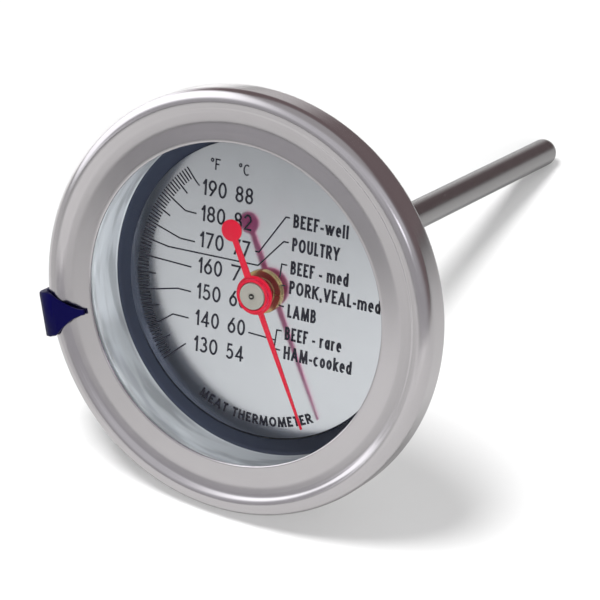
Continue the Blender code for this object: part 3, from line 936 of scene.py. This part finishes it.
# Lines that lead from marks of the scale to the numbers, and from the numbers to the names of meats
LEADERS = {
    190: [(-12.83, 15.25)],
    180: [(-15.2, 10.6), (-13.1, 10.5)],
    170: [(-15.9, 5.75), (-13.1, 5.7)],
    165: [(-18.0, 3.9), (-1.2, 4.1), (3.2, 9.0), (4.1, 9.0)],
    160: [(-13.5, 1.3)],
    150: [(-15.8, -2.85), (-13.3, -2.9)],
    140: [(-16.5, -7.45), (-13.5, -7.5)],
    130: [(-13.75, -12.0)],
}
NAME_LINES = [
    [(-1.9, 6.35), (-1.2, 6.35), (3.3, 13.1), (4.0, 13.1)],
    [(2.9, 2.9), (3.1, 5.2), (4.1, 5.2)],
    [(3.3, 1.7), (4.0, 1.7)],
    [(2.9, -1.8), (4.0, -1.8)],
    [(-2.2, -7.55), (2.8, -7.75)],
    [(3.9, -5.95), (3.0, -6.0), (2.7, -9.2), (3.8, -9.3)],
]


def print_scale():
    bm = bmesh.new()
    for degree in range(130, 191):
        angle = degree_angle(degree)
        if degree in LEADERS:
            inner = LEADER_TICK_R
        else:
            inner = LONG_TICK_R if degree % 5 == 0 else TICK_R
        points = [polar(TICK_OUTER_R, angle), polar(inner, angle)] + LEADERS.get(degree, [])
        ribbon(bm, points, LINE_HALF)
    for points in NAME_LINES:
        ribbon(bm, points, LINE_HALF)
    return bm


# Fahrenheit, Celsius and the middle line of each row of numbers
NUMBER_ROWS = [
    (190, 88, 15.25), (180, 82, 10.85), (170, 77, 6.4), (160, 71, 2.0), (150, 66, -2.4), (140, 60, -7.0),
    (130, 54, -11.5),
]
# Text, left and right ends, and middle line
NAME_ROWS = [
    ("BEEF-well", 4.7, 14.6, 12.75),
    ("POULTRY", 4.75, 13.3, 8.85),
    ("BEEF - med", 4.75, 15.2, 4.95),
    ("PORK,VEAL-med", 4.75, 21.2, 1.65),
    ("LAMB", 4.7, 9.9, -2.35),
    ("BEEF - rare", 4.5, 14.8, -6.2),
    ("HAM-cooked", 4.5, 16.9, -9.5),
]


def print_numbers():
    bm = bmesh.new()
    cap, weight = 2.7, 0.36
    for fahrenheit, celsius, middle in NUMBER_ROWS:
        base = middle - cap / 2
        write(bm, str(fahrenheit), -12.2, -7.75, base, cap, weight)
        write(bm, str(celsius), -6.1, -2.85, base, cap, weight)
    unit_cap, unit_weight = 1.9, 0.24
    write(bm, "°F", -11.0, -9.2, 18.45, unit_cap, unit_weight)
    write(bm, "°C", -5.8, -3.75, 18.5, unit_cap, unit_weight)
    return bm


def print_names():
    """The names beside the numbers, and generic words round the dial's lower edge."""
    bm = bmesh.new()
    for text, left, right, middle in NAME_ROWS:
        write(bm, text, left, right, middle - 1.12, 2.25, 0.39)
    low_radius, start, end, cap, weight = 22.9, 242.0, 298.0, 1.7, 0.38
    length = math.radians(end - start) * low_radius

    def bend(point):
        return polar(low_radius - point.y, start + (end - start) * point.x / length)

    write(bm, "MEAT THERMOMETER", 0, length, 0, cap, weight, bend)
    return bm


def build_print(mats):
    meshes = {"dial_scale": print_scale(), "dial_numbers": print_numbers(), "dial_names": print_names()}
    for name, bm in meshes.items():
        piece(name, bm, "case", [mats["ink"]], (), PRINT_TURN)


# The CAD nodes that stay, and their finishes
KEPT_NODES = {
    "hub_washer": "washer", "bush_seal": "rubber", "bimetal_coil": "bimetal", "shaft": "shaft",
    "upper_bearing": "brass", "shaft_guide": "brass", "coil_anchor": "brass", "coil_driver": "brass",
}


def dress_kept_nodes(mats):
    for name, key in KEPT_NODES.items():
        slots = frame["nodes"][name].data.materials
        slots.clear()
        slots.append(mats[key])


# ---- studio

# Name, place, size and power of each round lamp, and the point that all of them face
LAMPS = [
    ("key", (-0.19, -0.25, 0.95), 0.42, 8.0),
    ("back", (0.32, 0.28, 0.88), 0.8, 1.5),
    ("front", (0.65, -0.9, 0.44), 0.7, 13.5),
]
LAMP_TARGET = (0, 0, 0.02)


def studio_light(name, location, size, power):
    """A round lamp that reflections don't show."""
    light = bpy.data.lights.new(name, "AREA")
    light.shape = "DISK"
    light.size = size
    light.energy = power
    obj = bpy.data.objects.new(name, light)
    bpy.context.scene.collection.objects.link(obj)
    obj.location = location
    way = Vector(LAMP_TARGET) - Vector(location)
    obj.rotation_euler = way.to_track_quat("-Z", "Y").to_euler()
    obj.visible_glossy = False


def window_share(tree, x, y, z):
    """Where the large window on the left stands."""
    turned = plus(tree, times(tree, x, -0.396), times(tree, y, -0.799))
    turned = plus(tree, turned, times(tree, z, -0.452))
    offset = calc(tree, "ABSOLUTE", calc(tree, "SUBTRACT", turned, 0.14))
    share = times(tree, fall(tree, offset, 0.26, 0.52), fall(tree, x, -0.66, -0.25))
    return times(tree, share, fall(tree, z, 0.80, 0.93))


def strip_share(tree, x, y, z):
    """Where the narrow bright strip in front on the right stands."""
    share = times(tree, rise(tree, z, 0.46, 0.51), fall(tree, z, 0.57, 0.62))
    share = times(tree, share, rise(tree, x, 0.36, 0.44))
    return times(tree, share, times(tree, fall(tree, x, 0.5, 0.65), fall(tree, y, -0.4, -0.2)))


def painted_room(tree):
    """The surroundings that metal reflects, painted by direction: +Z is up, -Y towards the reader."""
    x, y, z = parts_of(tree, node(tree, "ShaderNodeTexCoord").outputs["Generated"])
    room = blend(tree, fall(tree, y, -0.55, 0.35), (0.185, 0.145, 0.150, 1), (0.40, 0.395, 0.415, 1))
    front = times(tree, rise(tree, z, 0.15, 0.50), fall(tree, y, -0.30, 0.0))
    dim_right = times(tree, rise(tree, x, -0.10, 0.30), fall(tree, z, 0.42, 0.62))
    front = calc(tree, "SUBTRACT", front, times(tree, front, dim_right))
    top = remap(tree, y, -0.65, -0.40, 0.02, 0.25)
    low_window = times(tree, fall(tree, x, -0.72, -0.54), fall(tree, z, top, plus(tree, top, 0.08)))
    back_left = times(tree, fall(tree, x, -0.40, -0.10), rise(tree, y, 0.60, 0.80))
    back_left = times(tree, back_left, fall(tree, z, 0.15, 0.40))
    for share, color in (
        (front, (0.60, 0.60, 0.63, 1)),
        (rise(tree, z, 0.80, 0.97), (0.42, 0.41, 0.42, 1)),
        (window_share(tree, x, y, z), (1.75, 1.76, 1.82, 1)),
        (strip_share(tree, x, y, z), (2.3, 2.3, 2.5, 1)),
        (low_window, (1.55, 1.56, 1.62, 1)),
        (back_left, (0.62, 0.60, 0.60, 1)),
    ):
        room = blend(tree, share, room, color)
    return room


def build_world():
    """White to the camera, even and dim to the floor, and the painted room to reflections."""
    white = (1, 1, 1, 1)
    world = bpy.data.worlds.new("studio")
    bpy.context.scene.world = world
    world.use_nodes = True
    tree = world.node_tree
    tree.nodes.clear()
    room = painted_room(tree)
    soft, lit, seen = [
        node(tree, "ShaderNodeBackground", {"Color": color, "Strength": strength}).outputs[0]
        for color, strength in ((white, 0.16), (room, 1.0), (white, 1.1))
    ]
    inner = node(tree, "ShaderNodeMixShader", {0: ray_is(tree, "Glossy"), 1: soft, 2: lit}).outputs[0]
    mixed = node(tree, "ShaderNodeMixShader", {0: ray_is(tree, "Camera"), 1: inner, 2: seen}).outputs[0]
    node(tree, "ShaderNodeOutputWorld", {"Surface": mixed})


def floor_in_mirror(tree, point):
    """How bright polished metal sees the floor: a base level, then other levels where each area lies."""
    x, y, _ = parts_of(tree, point)
    slanted = calc(tree, "SUBTRACT", x, times(tree, plus(tree, y, 0.10), 0.34))
    front_left = times(tree, fall(tree, slanted, -0.09, 0.03), fall(tree, y, -0.10, -0.08))
    behind = times(tree, rise(tree, x, -0.08, 0.08), rise(tree, y, 0.0, 0.2))
    left = times(tree, fall(tree, x, -0.18, -0.04), rise(tree, y, -0.06, 0.08))
    right = rise(tree, x, -0.08, 0.10)
    far = rise(tree, distance_of(tree, point), 0.5, 1.0)
    level = 0.57
    for share, value in ((right, 0.50), (front_left, 0.43), (behind, 0.38), (far, 0.42), (left, 1.25)):
        level = blend_values(tree, share, level, value)
    return level


def floor_material():
    """White paper. Polished metal sees it at other levels, and far away it glows to the camera."""
    mat = bpy.data.materials.new("paper_floor")
    mat.use_nodes = True
    tree = mat.node_tree
    shader = tree.nodes["Principled BSDF"]
    point = node(tree, "ShaderNodeTexCoord").outputs["Object"]
    fibre = noise(tree, point, 900.0, 3.0)
    level = blend_values(tree, ray_is(tree, "Glossy"), 0.90, floor_in_mirror(tree, point))
    level = plus(tree, level, times(tree, calc(tree, "SUBTRACT", fibre, 0.5), 0.01))
    glow = times(tree, ray_is(tree, "Camera"), rise(tree, distance_of(tree, point), 0.3, 1.2))
    fill(tree, shader, {
        "Base Color": combine(tree, level, level, level),
        "Emission Color": (1, 1, 1, 1),
        "Emission Strength": glow,
        "Roughness": 0.9,
        "Specular IOR Level": 0.0,
    })
    return mat


def build_floor():
    bm = bmesh.new()
    bmesh.ops.create_circle(bm, cap_ends=True, radius=3.0, segments=96)
    mesh = bpy.data.meshes.new("floor")
    bm.to_mesh(mesh)
    bm.free()
    mesh.materials.append(floor_material())
    floor = bpy.data.objects.new("floor", mesh)
    bpy.context.scene.collection.objects.link(floor)


def build_camera():
    """The reference view: from the dial's upper right, looking down at it with a long lens."""
    data = bpy.data.cameras.new("camera")
    data.sensor_width = 36.0
    data.lens = 164.58
    data.clip_start = 0.01
    data.clip_end = 20.0
    camera = bpy.data.objects.new("camera", data)
    bpy.context.scene.collection.objects.link(camera)
    camera.location = DIAL @ (Vector((187.214, 149.344, 362.669)) * MM)
    azimuth, elevation = math.radians(29.333), math.radians(33.232)
    flat = math.cos(elevation)
    ahead = Vector((-math.sin(azimuth) * flat, math.cos(azimuth) * flat, -math.sin(elevation)))
    camera.rotation_euler = ahead.to_track_quat("-Z", "Y").to_euler()
    bpy.context.scene.camera = camera


def build_studio():
    build_world()
    build_floor()
    for lamp in LAMPS:
        studio_light(*lamp)
    build_camera()
    view = bpy.context.scene.view_settings
    view.view_transform = "Standard"
    view.look = "None"


materials = make_materials()
build_case(materials)
build_dial(materials)
build_stem(materials)
build_needle(materials)
build_marker(materials)
build_print(materials)
dress_kept_nodes(materials)
build_studio()
